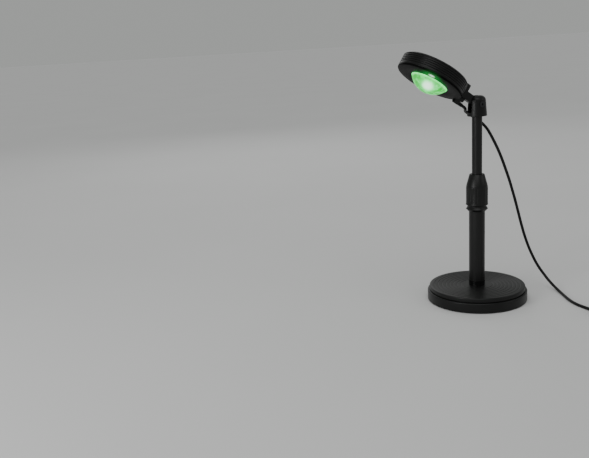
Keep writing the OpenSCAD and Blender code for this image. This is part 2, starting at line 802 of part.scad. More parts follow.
module back_screws() {
    color(steel) at_head() around(3, cover_screw_reach, cover_screw_turn) difference() {
        union() {
            disc(1.9, head_t - 0.85, head_t - 0.15);
            disc(0.95, head_t - 3.2, head_t - 0.5);
        }
        for (a = [0, 90]) rotate([0, 0, a]) translate([-1.1, -0.2, head_t - 0.5]) cube([2.2, 0.4, 1]);
    }
}

module front_bezel() {
    color(metal_black) at_head() difference() {
        union() {
            rotate_extrude() polygon([[lens_r, 0], [head_r - front_chamfer, 0],
                [head_r, front_chamfer], [head_r, bezel_t - seat_gap],
                [lens_r, bezel_t - seat_gap]]);
            ring(cavity_r - seat_gap, cavity_r - 1.5, bezel_t - 0.5, bezel_t + bezel_skirt_h);
        }
        disc(lens_r + 0.25, -1, bezel_t + 1);
    }
}

module lens() {
    color(glass) at_head() rotate_extrude() {
        intersection() {
            translate([0, lens_ball_r - lens_rise]) circle(r = lens_ball_r);
            translate([0, -lens_rise - 1]) square([lens_r, lens_rise + 1]);
        }
        translate([0, -eps]) square([lens_r, bezel_t + 2 * eps]);
        translate([0, bezel_t]) square([lens_r + lens_flange, lens_flange_t]);
    }
}

module lens_gasket() {
    color(rubber_black) at_head()
        ring(lens_r + lens_flange, lens_r - 1.5, lens_seat, lens_seat + gasket_t);
}

module lens_tube() {
    mouth_r = lens_r - 2;
    color(plastic_black) at_head() rotate_extrude() polygon([
        [mouth_r, tube_z], [lens_r + lens_flange + 1, tube_z],
        [lens_r + lens_flange + 1, tube_z + 1], [mouth_r + 1, tube_z + 1],
        [hub_r, ledge_z - 1.8], [hub_r, board_z], [ledge_r, board_z], [ledge_r, ledge_z],
        [filter_r + seat_gap, ledge_z], [filter_r + seat_gap, ledge_z - 1.8]]);
}

module colour_filter() {
    color(lamp_green) at_head() disc(filter_r, ledge_z - filter_t, ledge_z);
}

module filter_ring() {
    color(plastic_black) at_head() ring(filter_r, filter_r - 1.2,
        ledge_z - filter_t - filter_ring_t, ledge_z - filter_t);
}

module led_board() {
    color("white") at_head() difference() {
        disc(board_r, board_z, cavity_top);
        around(2, board_screw_reach, 90) disc(1.1, board_z - 1, cavity_top + 1);
    }
}

module led_chip() {
    color("#e8d35a") at_head() {
        disc(led_r, board_z - led_t, board_z - led_t / 2);
        translate([-led_r - 0.5, -led_r - 0.5, board_z - led_t / 2])
            cube([led_d + 1, led_d + 1, led_t / 2]);
    }
}

module board_screws() {
    color(steel) at_head() around(2, board_screw_reach, 90) {
        disc(1.7, board_z - 1.1, board_z);
        disc(0.95, board_z - 0.5, cavity_top + 2);
    }
}

module driver_board() {
    color(board_green) at_head() translate([driver_x, 0, cavity_top]) {
        translate([-3.5, -driver_w / 2, -driver_t]) cube([7, driver_w, driver_t]);
        translate([-2.2, 2, -2 * driver_t]) cube([4, 5, driver_t + eps]);
        translate([-2, -6, -driver_t - 1.8]) cube([3, 3, 1.8 + eps]);
    }
}

module inner_wires() {
    wire_end_x = head_reach + driver_x - 1.5;
    color(rubber_black) at_arm() {
        translate([wire_start_x, 0, cable_exit_z]) rotate([0, 90, 0])
            cylinder(r = wire_r, h = channel_turn_x - wire_start_x);
        for (z = [cable_exit_z, wire_in_z]) translate([channel_turn_x, 0, z]) sphere(r = wire_r);
        translate([channel_turn_x, 0, cable_exit_z]) cylinder(r = wire_r, h = wire_in_z - cable_exit_z);
        translate([channel_turn_x, 0, wire_in_z]) rotate([0, 90, 0])
            cylinder(r = wire_r, h = wire_end_x - channel_turn_x);
        translate([wire_end_x, 0, wire_in_z]) sphere(r = wire_r);
        translate([wire_end_x, 0, wire_in_z])
            cylinder(r = wire_r, h = face_z + cavity_top - driver_t - wire_in_z);
    }
}

// ---- cable ----

module cable_run(a, b) {
    color(rubber_black) swept_tube(slice(route, a, b), slice(tangents(route), a, b),
        cable_r, tube_sides);
}

module cable_at_head() {
    cable_run(0, head_end);
}

module cable_at_mast() {
    cable_run(head_end, mast_end);
}

module cable_drop() {
    cable_run(mast_end, drop_end);
}

module cable_coil() {
    color(rubber_black) swept_tube(coil_path, tangents(coil_path), cable_r, coil_sides);
}

module coil_tie() {
    inner_w = coil_pitch * layer_turns + cable_d + 1.6;
    inner_h = coil_pitch * (coil_layers - 1) + cable_d + 0.4;
    mid_r = coil_r - coil_pitch * layer_turns / 2;
    color("#2b2d2b") translate([coil_centre[0], coil_centre[1], 0]) rotate([0, 0, tie_angle])
        translate([mid_r, 0, coil_z - cable_r + inner_h / 2 - 0.1]) rotate([90, 0, 0])
            linear_extrude(height = tie_w, center = true) difference() {
                round_rect(inner_w + 2 * tie_t, inner_h + 2 * tie_t, 1.5);
                round_rect(inner_w, inner_h, 1);
            }
}

module plug_grip() {
    color(plastic_black) at_plug() difference() {
        union() {
            rotate([0, 90, 0]) cylinder(r1 = cable_r + 0.4, r2 = grip_t / 2 - 0.9, h = plug_neck_len + eps);
            translate([plug_neck_len, 0, 0]) rotate([90, 0, 90])
                linear_extrude(height = grip_len) round_rect(grip_w, grip_t, 2.2);
        }
        translate([plug_x0 - shell_hidden, 0, 0]) rotate([90, 0, 90])
            linear_extrude(height = shell_hidden + 1)
                square([shell_w + 2 * seat_gap, shell_h + 2 * seat_gap], center = true);
        for (x = [1.8, 3.6, 5.4]) translate([x, 0, 0]) rotate([0, 90, 0])
            ring(grip_t, cable_r + 0.2, 0, 0.6);
    }
}

module plug_shell() {
    color(steel) at_plug() translate([plug_x0 - shell_hidden, 0, 0]) difference() {
        rotate([90, 0, 90]) linear_extrude(height = shell_len) difference() {
            round_rect(shell_w, shell_h, 0.6);
            square([shell_w - 2 * shell_wall, shell_h - 2 * shell_wall], center = true);
        }
        for (y = [-3, 3]) translate([shell_len - 6.5, y - 1.1, -shell_h]) cube([2.2, 2.2, 2 * shell_h]);
    }
}

module plug_tongue() {
    color("#101110") at_plug()
        translate([plug_x0 - shell_hidden, -shell_w / 2 + shell_wall + seat_gap,
            shell_h / 2 - shell_wall - seat_gap - tongue_t])
            cube([shell_len - 0.6, shell_w - 2 * (shell_wall + seat_gap), tongue_t]);
}

module plug_contacts() {
    color(brass) at_plug() for (i = [-1.5 : 1 : 1.5])
        translate([plug_x0 + 0.5, i * 2.3 - 0.6, shell_h / 2 - shell_wall - seat_gap - tongue_t - 0.2])
            cube([shell_len - shell_hidden - 2, 1.2, 0.2]);
}

base_shell();
base_weight();
base_plate();
base_pad();
base_screws();
stem_screw();
stem_washer();
foot_socket();
lower_tube();
collar_body();
lock_nut();
guide_bush();
bush_retainer();
bush_clip();
upper_tube();
clevis_cap();
hinge_bolt();
hinge_nut();
hinge_washers();
head_bracket();
bracket_screws();
head_housing();
back_cover();
back_screws();
front_bezel();
lens();
lens_gasket();
lens_tube();
colour_filter();
filter_ring();
led_board();
led_chip();
board_screws();
driver_board();
inner_wires();
cable_grommet();
cable_at_head();
cable_at_mast();
cable_drop();
cable_coil();
coil_tie();
plug_grip();
plug_shell();
plug_tongue();
plug_contacts();
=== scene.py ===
# %% [markdown]
# # A sunset projection lamp
# The lamp is a black disc with a domed lens, held by a tilt hinge on a telescopic stand. The
# imported model is the frame that all of it hangs on: its nodes keep their places and sizes, and
# this script gives them their looks. What is soft or shows its edges is modelled again here.
# The frame is loaded before anything else.

# %% Load the frame
import json
import math

import bpy
from mathutils import Matrix, Vector


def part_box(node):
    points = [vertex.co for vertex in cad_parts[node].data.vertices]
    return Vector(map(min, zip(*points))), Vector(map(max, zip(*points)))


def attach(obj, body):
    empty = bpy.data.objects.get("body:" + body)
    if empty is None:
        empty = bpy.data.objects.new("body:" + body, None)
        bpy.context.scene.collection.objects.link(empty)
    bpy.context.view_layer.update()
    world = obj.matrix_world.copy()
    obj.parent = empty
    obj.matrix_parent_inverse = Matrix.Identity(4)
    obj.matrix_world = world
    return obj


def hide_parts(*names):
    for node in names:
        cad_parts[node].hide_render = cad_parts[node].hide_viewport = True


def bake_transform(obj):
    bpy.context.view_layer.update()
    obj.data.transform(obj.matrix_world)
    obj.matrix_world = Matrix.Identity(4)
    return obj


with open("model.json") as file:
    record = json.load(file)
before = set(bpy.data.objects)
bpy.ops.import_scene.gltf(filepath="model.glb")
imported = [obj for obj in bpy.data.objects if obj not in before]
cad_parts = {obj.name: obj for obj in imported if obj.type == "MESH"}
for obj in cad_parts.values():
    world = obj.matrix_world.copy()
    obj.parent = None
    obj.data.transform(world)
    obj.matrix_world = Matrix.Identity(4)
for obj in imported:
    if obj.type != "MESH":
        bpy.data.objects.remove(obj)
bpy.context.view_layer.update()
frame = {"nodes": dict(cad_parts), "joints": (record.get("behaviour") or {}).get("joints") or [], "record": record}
nodes = frame["nodes"]
MM = 0.001


def millimetres(*numbers):
    return Vector(numbers) * MM


print("nodes in the frame:", len(nodes))

# %% [markdown]
# ## The camera
# The photograph was taken from a little above the lamp's base, looking slightly down. A camera
# is a place, a direction and a focal length. The direction is given as three turns: round the
# vertical, down from the horizon, and a small roll. Blender's camera looks along its own -Z, so
# a level camera is one that has been turned up by 90 degrees.

# %% Camera
IMAGE_WIDTH_PX = 589
FOCAL_LENGTH_PX = 774.1
SENSOR_MM = 36
camera_place = millimetres(-561.3, -753.0, 320.9)
camera_heading = math.radians(-23.053)
camera_pitch = math.radians(-13.562)
camera_roll = math.radians(-3.211)

camera_data = bpy.data.cameras.new("photo_camera")
camera_data.sensor_width = SENSOR_MM
camera_data.lens = SENSOR_MM * FOCAL_LENGTH_PX / IMAGE_WIDTH_PX
camera_data.clip_start = 0.01
camera = bpy.data.objects.new("photo_camera", camera_data)
bpy.context.scene.collection.objects.link(camera)
turn = (
    Matrix.Rotation(camera_heading, 4, "Z")
    @ Matrix.Rotation(math.radians(90) + camera_pitch, 4, "X")
    @ Matrix.Rotation(camera_roll, 4, "Z")
)
camera.matrix_world = Matrix.Translation(camera_place) @ turn
bpy.context.scene.camera = camera
print("lens in mm:", round(camera_data.lens, 2))

# %% [markdown]
# ## Shader maths as Python
# A material is a tree of nodes. Written out node by node, a simple sum takes a page. A small
# class that wraps one socket and understands + - * and ** turns the same tree into a line
# that reads as what it means: `0.5 + 0.1 * grain`.

# %% A socket that can be added and multiplied


class Value:
    """One output of a node. An operator on it adds the Math node that works it out."""

    def __init__(self, finish, socket):
        self.finish = finish
        self.socket = socket

    def math(self, operation, *others):
        inputs = {i: value for i, value in enumerate((self, *others))}
        return self.finish.node("ShaderNodeMath", {"operation": operation}, inputs)

    def __add__(self, other):
        return self.math("ADD", other)

    __radd__ = __add__

    def __mul__(self, other):
        return self.math("MULTIPLY", other)

    __rmul__ = __mul__

    def __sub__(self, other):
        return self.math("SUBTRACT", other)

    def __rsub__(self, other):
        return (self * -1) + other

    def __pow__(self, other):
        return self.math("POWER", other)

    def ramp(self, low, high):
        """Goes smoothly from 0 at low to 1 at high."""
        return self.finish.node(
            "ShaderNodeMapRange",
            {"interpolation_type": "SMOOTHSTEP"},
            {"Value": self, "From Min": low, "From Max": high},
        )


# %% [markdown]
# ## One finish is one material
# A finish starts from the Principled shader. Numbers that are the same all over go straight on
# the shader's sockets. What changes over the surface comes from patterns of the Object
# coordinates, which are metres here: a noise with a scale of 1000 has spots of about 1 mm.

# %% A finish and its patterns


class Finish:
    """A material with a Principled shader, and the helpers that draw its patterns."""

    def __init__(self, name, **sockets):
        self.material = bpy.data.materials.new(name)
        self.material.use_nodes = True
        self.tree = self.material.node_tree
        self.shader = self.tree.nodes["Principled BSDF"]
        for socket, value in sockets.items():
            self.shader.inputs[socket.replace("_", " ")].default_value = value
        self.place = self.node("ShaderNodeTexCoord", {}, {}, "Object")

    def node(self, kind, settings, inputs, output=0):
        """Adds a node: first its settings, then a value or a link for each named socket."""
        node = self.tree.nodes.new(kind)
        for setting, value in settings.items():
            setattr(node, setting, value)
        for socket, value in inputs.items():
            if isinstance(value, Value):
                self.tree.links.new(value.socket, node.inputs[socket])
            else:
                node.inputs[socket].default_value = value
        return Value(self, node.outputs[output])

    def set(self, socket, value):
        self.tree.links.new(value.socket, self.shader.inputs[socket])
        return self

    def placed(self, location, turn, scale=(1, 1, 1)):
        """The Object coordinates as seen from a frame that stands somewhere else."""
        return self.node(
            "ShaderNodeMapping",
            {"vector_type": "TEXTURE"},
            {"Vector": self.place, "Location": location, "Rotation": turn, "Scale": scale},
        )

    def noise(self, scale, detail, place=None):
        inputs = {"Vector": place or self.place, "Scale": scale, "Detail": detail}
        return self.node("ShaderNodeTexNoise", {}, inputs, "Fac")

    def axes(self, place):
        """The three coordinates of a place, as values."""
        split = self.node("ShaderNodeSeparateXYZ", {}, {0: place})
        return [Value(self, output) for output in split.socket.node.outputs]

    def from_axis(self, place):
        """How far a point is from the Z axis of a place."""
        x, y, _ = self.axes(place)
        return (x * x + y * y) ** 0.5

    def mix(self, factor, first, second):
        inputs = {"Factor": factor, 6: first, 7: second}
        return self.node("ShaderNodeMix", {"data_type": "RGBA"}, inputs, 2)

    def bump(self, height, distance, strength=1.0):
        """Raises the surface where height is larger. Distance is in metres."""
        inputs = {"Height": height, "Distance": distance, "Strength": strength}
        return self.set("Normal", self.node("ShaderNodeBump", {}, inputs))


def grey(level, tint=(1, 1, 1)):
    """A shader colour of that brightness, with a slight tint."""
    return (*(level * part for part in tint), 1)


# %% [markdown]
# ## The frame of the head
# The head hangs at an angle, so its pieces are made upright, round the Z axis, and then set in
# place. One matrix does that for all of them. The tilt axis is the joint's own point, from the
# frame. The angle at rest, the head's reach and its drop are those of the part's source.

# %% Frames of the arm and the head
REST_TILT = math.radians(34)
HEAD_REACH_MM = 71
HEAD_DROP_MM = 4
HEAD_THICKNESS_MM = 17
joints = {joint["name"]: joint for joint in frame["joints"]}
pivot = Vector(joints["head_tilt"]["pos_m"])
arm_frame = (
    Matrix.Translation(pivot)
    @ Matrix.Rotation(REST_TILT, 4, "Y")
    @ Matrix.Rotation(math.pi, 4, "Z")
)
face_z = -HEAD_DROP_MM - HEAD_THICKNESS_MM / 2
head_frame = arm_frame @ Matrix.Translation(millimetres(HEAD_REACH_MM, 0, face_z))
head_place = head_frame.translation
head_turn = head_frame.to_euler()
print("centre of the head's face:", [round(n, 4) for n in head_place])

# %% [markdown]
# ## Black plastic
# The base, the collar, the nut and the cap are moulded black plastic. It isn't mirror black: the
# mould's surface was spark-eroded, which leaves grains of a few tenths of a millimetre. The
# grain goes in the bump and, weaker, in the roughness. A slow, large noise keeps broad faces
# from looking printed.

# %% Moulded plastic
PLASTIC_SHEEN = 0.26


def moulded_plastic(name, level, roughness, grain_size_mm=0.35, depth_mm=0.012):
    finish = Finish(name, IOR=1.5, Specular_IOR_Level=PLASTIC_SHEEN)
    grain = finish.noise(1 / (grain_size_mm * MM), 2)
    cloud = finish.noise(28, 3)
    dark, light = grey(level * 0.8, (0.96, 1, 0.97)), grey(level * 1.25, (0.97, 1, 0.98))
    finish.set("Base Color", finish.mix(cloud.ramp(0.35, 0.65), dark, light))
    finish.set("Roughness", roughness - 0.06 + 0.07 * grain + 0.06 * cloud)
    return finish.bump(grain, depth_mm * MM)


finishes = {
    "black_plastic": moulded_plastic("black_plastic", 0.006, 0.36),
    "gloss_socket": moulded_plastic("gloss_socket", 0.005, 0.20, 0.6, 0.004),
    "cable_tie": moulded_plastic("cable_tie", 0.012, 0.62, 0.5, 0.06),
}
print("plastics:", ", ".join(finishes))

# %% [markdown]
# ## Painted tubes
# The tubes are steel with a satin black paint. Paint draws itself into a faint orange peel as it
# dries, and a telescopic tube gets fine scratches along its length from sliding. Squeezing the
# coordinates along Z before the noise stretches its spots into streaks.

# %% Satin paint with streaks along the tube
PAINT_SHEEN = 0.25
STREAK_STRETCH = 40


def painted_tube(name):
    finish = Finish(name, IOR=1.5, Specular_IOR_Level=PAINT_SHEEN, Coat_Roughness=0.25)
    peel = finish.noise(850, 1)
    along = finish.placed((0, 0, 0), (0, 0, 0), (1, 1, STREAK_STRETCH))
    streaks = finish.noise(2600, 2, along).ramp(0.52, 0.72)
    finish.set("Base Color", finish.mix(streaks, grey(0.006), grey(0.012, (1, 1, 0.98))))
    finish.set("Roughness", 0.33 + 0.08 * streaks + 0.05 * peel)
    finish.set("Coat Weight", 0.12 - 0.06 * streaks)
    return finish.bump(peel, 0.02 * MM)


finishes["black_tube"] = painted_tube("black_tube")

# %% [markdown]
# ## Anodised aluminium
# The head was turned on a lathe and anodised matt black. The tool leaves rings round the head's
# own axis, a fraction of a millimetre apart. A sine of the distance from that axis draws them,
# so the pattern needs the head's frame: a Mapping node of the Texture kind looks at the object
# coordinates from there. The face round the lens is blacker than the rest and has less sheen.

# %% Turned and anodised aluminium
TOOL_MARK_PITCH_MM = 0.22
TOOL_MARK_DEPTH_MM = 0.004


def anodised(name, level, sheen):
    finish = Finish(name, IOR=1.4, Specular_IOR_Level=sheen)
    place = finish.placed(head_place, head_turn)
    radius = finish.from_axis(place)
    rings = (radius * (2 * math.pi / (TOOL_MARK_PITCH_MM * MM))).math("SINE")
    patches = finish.noise(60, 3)
    dark, light = grey(level * 0.7), grey(level * 1.3, (0.98, 1, 0.98))
    finish.set("Base Color", finish.mix(patches.ramp(0.3, 0.7), dark, light))
    finish.set("Roughness", 0.30 + 0.03 * rings + 0.08 * patches)
    return finish.bump(rings, TOOL_MARK_DEPTH_MM * MM, 0.6)


finishes["black_aluminium"] = anodised("black_aluminium", 0.007, 0.28)
face_finish = anodised("face_aluminium", 0.004, 0.03)

# %% [markdown]
# ## The light
# The lens is a glass dome. Behind it sit a green filter and a bright chip, and the dome shows
# them swollen and bent. So the glass refracts here, and what lies behind it shines a little.
# Most of the look is light that the glass itself scatters: a deep green with paler clouds, a
# thin pale line along the rim, and one small white heart where the chip's light comes out.
# The glass also throws some light sideways, on one spot of the face beside it, and that light is
# painted on the face. The chip's light on the lens tube is painted too. All of it is
# emission, drawn in the head's own frame, so it turns with the head.

# %% Lens glass, filter, chip, and the painted light on the tube and on the face
LAMP_GREEN = (0.0, 0.22, 0.015, 1)
LAMP_PALE = (0.16, 1.0, 0.28, 1)
LAMP_WHITE = (0.80, 1.0, 0.86, 1)
LENS_GLOW = 1.9
HEART_MM = (6.7, 12.3, -8.1)
HEART_FADE_MM = (2.4, 8.5)
HALO_FADE_MM = (4, 14)
RIM_LINE_MM = (20.6, 21.7)
CHIP_LIGHT_MM = (4, 11)
# Where the painted light on the face beside the lens sits, and how it fades.
SPILL_MM = (15.1, 24.2)
SPILL_FADE_MM = (2, 15)
SPILL_HEART_FADE_MM = (1, 5)


def between(value, distances_mm):
    """Goes smoothly from 0 at the first distance to 1 at the second."""
    return value.ramp(*(distance * MM for distance in distances_mm))


def lens_glass():
    finish = Finish("lens_glass", IOR=1.45, Roughness=0.04, Transmission_Weight=0.45)
    finish.shader.inputs["Base Color"].default_value = (0.01, 0.30, 0.04, 1)
    finish.shader.inputs["Emission Strength"].default_value = LENS_GLOW
    place = finish.placed(head_place, head_turn)
    radius = finish.from_axis(place)
    x, y, z = (axis - n * MM for axis, n in zip(finish.axes(place), HEART_MM))
    from_heart = (x * x + y * y + z * z) ** 0.5
    clouds = finish.noise(190, 3, place).ramp(0.44, 0.68)
    halo = 1 - between(from_heart, HALO_FADE_MM)
    rim = between(radius, RIM_LINE_MM)
    glow = finish.mix(clouds * 0.35 + halo * 0.65 + rim * 0.6, LAMP_GREEN, LAMP_PALE)
    heart = 1 - between(from_heart, HEART_FADE_MM)
    return finish.set("Emission Color", finish.mix(heart, glow, LAMP_WHITE))


def shining(name, colour, strength):
    finish = Finish(name, Roughness=0.35)
    finish.shader.inputs["Emission Strength"].default_value = strength
    spots = finish.noise(900, 2)
    finish.set("Base Color", finish.mix(spots, grey(0.5), colour))
    finish.set("Emission Color", finish.mix(spots * 0.3, colour, LAMP_PALE))
    return finish


def painted_lit_tube():
    # The tube is no lamp: the chip's light on it is painted. Its colour gets lighter and its glow turns from dark
    # to bright green between 4 and 11 mm behind the face.
    finish = Finish("painted_lit_tube", Roughness=0.4)
    finish.shader.inputs["Emission Strength"].default_value = 0.9
    place = finish.placed(head_place, head_turn)
    height = finish.axes(place)[2]
    painted_chip_light = between(height, CHIP_LIGHT_MM)
    finish.set("Base Color", finish.mix(painted_chip_light, grey(0.02), grey(0.05)))
    finish.set("Emission Color", finish.mix(painted_chip_light, (0.0, 0.12, 0.02, 1), LAMP_GREEN))
    return finish


def paint_spilled_light(finish):
    """Paints light on the face beside the lens, where the glass throws some of its light sideways."""
    finish.shader.inputs["Emission Strength"].default_value = 1.2
    x, y, _ = finish.axes(finish.placed(head_place, head_turn))
    from_spill = ((x - SPILL_MM[0] * MM) ** 2 + (y - SPILL_MM[1] * MM) ** 2) ** 0.5
    # Painted light on the face: a green glow that fades out over 15 mm from the spot, with a white core that fades
    # out over 5 mm.
    wide = 1 - between(from_spill, SPILL_FADE_MM)
    near = 1 - between(from_spill, SPILL_HEART_FADE_MM)
    spill = finish.mix(wide, (0, 0, 0, 1), (0.0, 0.16, 0.012, 1))
    return finish.set("Emission Color", finish.mix(near, spill, LAMP_WHITE))


finishes["lens_glass"] = lens_glass()
finishes["green_filter"] = shining("green_filter", (0.01, 0.60, 0.06, 1), 1.0)
paint_spilled_light(face_finish)
finishes["led_phosphor"] = shining("led_phosphor", LAMP_WHITE, 2.5)
finishes["painted_lit_tube"] = painted_lit_tube()

# %% [markdown]
# ## The rest of the finishes
# Rubber is dull and pitted, screws are brushed, castings are rough. One function each for the
# soft, the metal and the board surfaces is enough: apart from the cable and its plug, they show
# only when the lamp is taken apart or turned over.

# %% Rubber, metals and boards
BRUSH_MM = 0.2
BRUSH_STRETCH = 8
BRUSH_DEPTH_MM = 0.006


def rubber(name, level, roughness, pit_mm, depth_mm):
    finish = Finish(name, Specular_IOR_Level=0.2)
    pits = finish.noise(1 / (pit_mm * MM), 3)
    finish.set("Base Color", finish.mix(pits, grey(level * 0.7), grey(level * 1.3)))
    finish.set("Roughness", roughness + 0.1 * pits)
    return finish.bump(pits, depth_mm * MM)


def metal(name, colour, roughness):
    finish = Finish(name, Metallic=1.0)
    across = finish.placed((0, 0, 0), (0, 0, 0), (1, BRUSH_STRETCH, 1))
    brushed = finish.noise(1 / (BRUSH_MM * MM), 2, across)
    darker = tuple(0.75 * part for part in colour)
    finish.set("Base Color", finish.mix(brushed, (*darker, 1), (*colour, 1)))
    finish.set("Roughness", roughness - 0.05 + 0.12 * brushed)
    return finish.bump(brushed, BRUSH_DEPTH_MM * MM)


def board(name, colour):
    finish = Finish(name, Coat_Weight=0.4, Coat_Roughness=0.2)
    weave = finish.noise(1500, 1)
    lighter = tuple(min(1, 1.25 * part) for part in colour)
    finish.set("Base Color", finish.mix(weave, (*colour, 1), (*lighter, 1)))
    finish.set("Roughness", 0.4 + 0.1 * weave)
    return finish


finishes |= {
    "rubber_pad": rubber("rubber_pad", 0.010, 0.80, 0.6, 0.08),
    "cable_jacket": rubber("cable_jacket", 0.006, 0.40, 0.9, 0.01),
    "iron_weight": rubber("iron_weight", 0.130, 0.60, 1.5, 0.15),
    "steel_screws": metal("steel_screws", (0.55, 0.56, 0.57), 0.30),
    "dark_steel": metal("dark_steel", (0.055, 0.056, 0.058), 0.34),
    "plug_steel": metal("plug_steel", (0.62, 0.63, 0.65), 0.22),
    "brass_contacts": metal("brass_contacts", (0.80, 0.58, 0.24), 0.25),
    "white_plastic": board("white_plastic", (0.68, 0.68, 0.63)),
    "white_board": board("white_board", (0.74, 0.74, 0.71)),
    "green_board": board("green_board", (0.03, 0.16, 0.07)),
}
for part in frame["record"]["subparts"]:
    finish = finishes[part["material_slot"]]
    # The lens tube gets the finish that has the chip's light painted on it.
    if part["node"] == "lens_tube":
        finish = finishes["painted_lit_tube"]
    node = nodes[part["node"]]
    if not node.material_slots:
        node.data.materials.append(finish.material)
    for slot in node.material_slots:
        slot.material = finish.material
print("finishes:", len(finishes))

# %% [markdown]
# ## Starting and ending a piece
# An operator works on all that is selected, and a new primitive is selected all over. So every
# piece starts with nothing selected. At its end it is set in place and the place is applied, so
# that its object sits at the origin, and it gets its body and its slot, and the nodes that it
# stands for are hidden.

# %% Helpers that every piece uses
SHARP_DEGREES = 35


def nothing_selected():
    if bpy.context.mode != "OBJECT":
        bpy.ops.object.mode_set(mode="OBJECT")
    bpy.ops.object.select_all(action="DESELECT")


def only(piece):
    nothing_selected()
    piece.select_set(True)
    bpy.context.view_layer.objects.active = piece
    return piece


def edit(piece, kind="VERT"):
    only(piece)
    bpy.ops.object.mode_set(mode="EDIT")
    bpy.ops.mesh.select_mode(type=kind)
    bpy.ops.mesh.select_all(action="DESELECT")


def bevel_edges(piece, width_mm, segments=2):
    """Rounds every edge that turns by more than SHARP_DEGREES."""
    only(piece)
    modifier = piece.modifiers.new("rounding", "BEVEL")
    modifier.width = width_mm * MM
    modifier.segments = segments
    modifier.limit_method = "ANGLE"
    modifier.angle_limit = math.radians(SHARP_DEGREES)
    bpy.ops.object.modifier_apply(modifier=modifier.name)
    return piece


def finished(
    piece, body, slot, stands_for=(), place=Matrix.Identity(4), smooth=SHARP_DEGREES, finish=None
):
    """Sets a piece in place, gives it the body it moves with and its material, and hides the nodes that it stands
    for.
    """
    only(piece)
    piece.matrix_world = place @ piece.matrix_world
    bpy.ops.object.transform_apply(location=True, rotation=True, scale=True)
    bpy.ops.object.shade_smooth_by_angle(angle=math.radians(smooth))
    piece.data.materials.clear()
    piece.data.materials.append((finish or finishes[slot]).material)
    if body:
        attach(piece, body)
    if stands_for:
        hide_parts(*stands_for)
    print(piece.name, "has", len(piece.data.polygons), "faces")
    return piece


# %% [markdown]
# ## Turned pieces
# Most of the lamp is round, and round pieces come from a lathe or a round mould. Blender's lathe
# is Spin: an outline is drawn as a line of points in the XZ plane, by extruding one vertex again
# and again, and is then spun round the Z axis. A doubled last ring is merged, and the normals
# are made to point outwards.

# %% A lathe


def arc(centre, radius, start, end, points=5):
    """Points on an arc, with its angles in degrees."""
    degrees = [start + (end - start) * i / (points - 1) for i in range(points)]
    angles = [math.radians(a) for a in degrees]
    x, z = centre
    return [(x + radius * math.cos(a), z + radius * math.sin(a)) for a in angles]


def turned(name, outline, steps):
    """Spins an outline of (distance from the axis, height) points in millimetres."""
    nothing_selected()
    bpy.ops.mesh.primitive_plane_add(size=MM)
    piece = bpy.context.active_object
    piece.name = name
    bpy.ops.object.mode_set(mode="EDIT")
    bpy.ops.mesh.select_all(action="SELECT")
    bpy.ops.mesh.merge(type="CENTER")
    points = [millimetres(r, 0, z) for r, z in outline]
    bpy.ops.transform.translate(value=points[0])
    for here, there in zip(points, points[1:]):
        bpy.ops.mesh.extrude_region_move(TRANSFORM_OT_translate={"value": there - here})
    bpy.ops.mesh.select_all(action="SELECT")
    bpy.ops.mesh.spin(steps=steps, angle=2 * math.pi, center=(0, 0, 0), axis=(0, 0, 1))
    bpy.ops.mesh.select_all(action="SELECT")
    bpy.ops.mesh.remove_doubles(threshold=0.001 * MM)
    bpy.ops.mesh.normals_make_consistent(inside=False)
    bpy.ops.object.mode_set(mode="OBJECT")
    return piece


# %% [markdown]
# ## The base
# A thin shell covers the weight: a lower wall, a groove, and a step that stands back a little,
# with fine rings pressed into its top. Everything is in the outline, down to the rounded edges
# that catch the light. The walls go back down on the inside, so the shell is hollow like the
# real one.

# %% Base shell
base_low, base_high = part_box("base_shell")
base_r = base_high.x / MM
base_top = base_high.z / MM
base_foot = base_low.z / MM
WALL_MM = 2.4
SKIRT_TOP_MM = 12.6
GROOVE_TOP_MM = 13.3
GROOVE_IN_MM = 1.0
STEP_IN_MM = 2.4
EDGE_MM = 1.2
FOOT_CHAMFER_MM = 0.3
STEP_CHAMFER_MM = 0.2
RINGS = 8
FIRST_RING_MM = 6
RING_PITCH_MM = 4.6
RING_HALF_MM = 0.76
RING_DEPTH_MM = 0.35
SOCKET_HOLE_MM = 7.05
step_r = base_r - STEP_IN_MM
groove_r = step_r - GROOVE_IN_MM


def pressed_ring(radius):
    """One ring pressed into the top face, from its outer edge inwards."""
    across = [1, 0.6, 0, -0.6, -1]
    down = [0, 0.7, 1, 0.7, 0]
    return [
        (radius + RING_HALF_MM * a, base_top - RING_DEPTH_MM * d) for a, d in zip(across, down)
    ]


inner_skirt = base_r - WALL_MM
inner_step = groove_r - WALL_MM
outline = [(inner_skirt, base_foot), (base_r - FOOT_CHAMFER_MM, base_foot)]
outline += [(base_r, base_foot + FOOT_CHAMFER_MM)]
outline += arc((base_r - EDGE_MM, SKIRT_TOP_MM - EDGE_MM), EDGE_MM, 0, 90)
outline += [(groove_r, SKIRT_TOP_MM), (groove_r, GROOVE_TOP_MM)]
outline += [(step_r - STEP_CHAMFER_MM, GROOVE_TOP_MM), (step_r, GROOVE_TOP_MM + STEP_CHAMFER_MM)]
outline += arc((step_r - EDGE_MM, base_top - EDGE_MM), EDGE_MM, 0, 90)
for i in range(RINGS):
    outline += pressed_ring(step_r - FIRST_RING_MM - i * RING_PITCH_MM)
outline += [(SOCKET_HOLE_MM, base_top), (SOCKET_HOLE_MM, base_top - WALL_MM)]
outline += [(inner_step, base_top - WALL_MM), (inner_step, SKIRT_TOP_MM - WALL_MM)]
outline += [(inner_skirt, SKIRT_TOP_MM - WALL_MM), (inner_skirt, base_foot)]
base_cover = turned("base_cover", outline, steps=200)
finished(base_cover, "base", "black_plastic", ["base_shell"])

# %% [markdown]
# ## The lock nut
# The nut is a long cup that tapers to the thin tube. It has shallow flutes for the fingers: they
# are made after the spin, by picking the columns of vertices that lie in a flute and drawing
# them in towards the axis.

